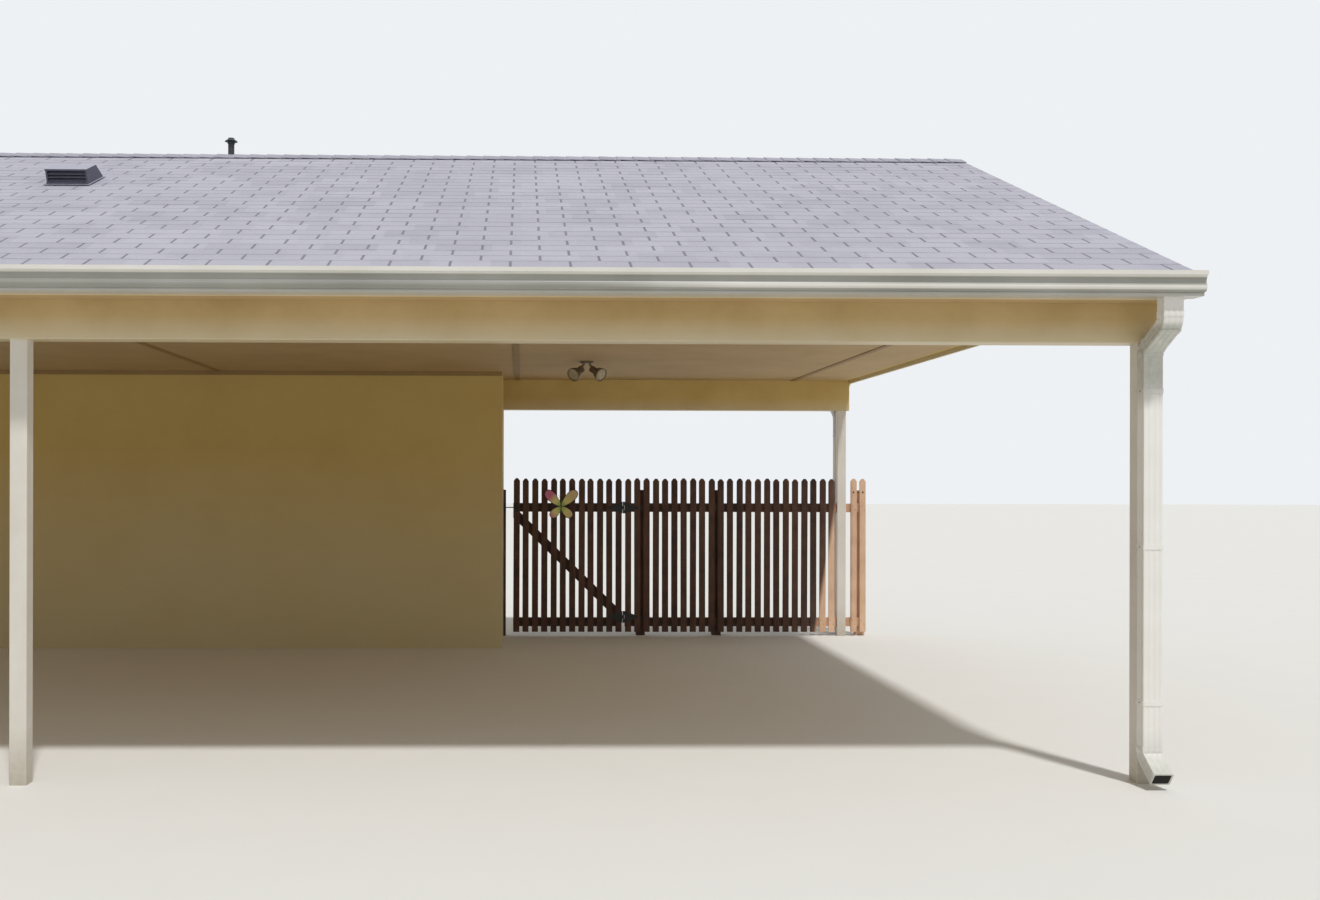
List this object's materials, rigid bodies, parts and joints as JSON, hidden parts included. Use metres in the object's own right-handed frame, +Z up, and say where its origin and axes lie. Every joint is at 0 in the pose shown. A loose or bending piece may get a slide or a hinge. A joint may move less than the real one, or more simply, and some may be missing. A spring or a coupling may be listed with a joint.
{
  "type": "carport with storage block",
  "caption": "Open carport under a shallow gable roof on square posts, with a closed storage block between the bays and picket fences with gates at the back.",
  "frame": {"origin": "on the ground under the middle of the ridge", "axes": "+X along the eaves, -Y towards the front where cars drive in, +Z up"},
  "size_m": [12.249, 7.12, 4.27],
  "materials": {
    "post_paint": "satin cream",
    "beam_paint": "satin cream",
    "wall_paint": "matt yellow paint",
    "trim_paint": "satin cream paint",
    "ceiling_paint": "matt cream paint",
    "shingles": "mineral granules",
    "gutter_paint": "baked enamel",
    "stained_wood": "red-brown stain",
    "black_iron": "black enamel",
    "vent_metal": "dark grey enamel",
    "lamp_plastic": "off-white"
  },
  "bodies": {
    "root": {"front_post_left": "post_paint", "front_post_middle": "post_paint", "front_post_right": "post_paint", "rear_post_left": "post_paint", "rear_post_right": "post_paint", "front_beam": "beam_paint", "rear_beam_left": "beam_paint", "rear_beam_right": "beam_paint", "storage_front_wall": "wall_paint", "storage_side_walls": "wall_paint", "storage_rear_wall": "wall_paint", "storage_doors": "trim_paint", "door_casings": "trim_paint", "ceiling": "ceiling_paint", "ceiling_strips": "ceiling_paint", "soffits": "ceiling_paint", "fascias": "trim_paint", "gable_wall_left": "wall_paint", "gable_wall_right": "wall_paint", "front_rake_board_left": "trim_paint", "front_rake_board_right": "trim_paint", "rear_rake_board_left": "trim_paint", "rear_rake_board_right": "trim_paint", "roof_front": "shingles", "roof_rear": "shingles", "ridge_cap": "shingles", "front_gutter": "gutter_paint", "rear_gutter": "gutter_paint", "front_downspout_left": "gutter_paint", "front_downspout_right": "gutter_paint", "rear_downspout_left": "gutter_paint", "rear_downspout_right": "gutter_paint", "fence_left": "stained_wood", "fence_right": "stained_wood", "fence_posts_left": "stained_wood", "fence_posts_right": "stained_wood", "fence_ironwork_left": "black_iron", "fence_ironwork_right": "black_iron", "roof_vent": "vent_metal", "vent_pipe": "vent_metal", "flood_lights": "lamp_plastic"},
    "gate_right": {"gate_leaf_right": "stained_wood", "gate_ironwork_right": "black_iron"},
    "gate_left": {"gate_leaf_left": "stained_wood", "gate_ironwork_left": "black_iron"}
  },
  "joints": [
    {"name": "gate_hinge_right", "type": "hinge", "parent": "root", "child": "gate_right", "pos_m": [3.6355, 3.117, 0.7675], "axis": [0, 0, 1], "range_deg": [0, 110]},
    {"name": "gate_hinge_left", "type": "hinge", "parent": "root", "child": "gate_left", "pos_m": [-3.6355, 3.117, 0.7675], "axis": [0, 0, -1], "range_deg": [0, 110]}
  ]
}
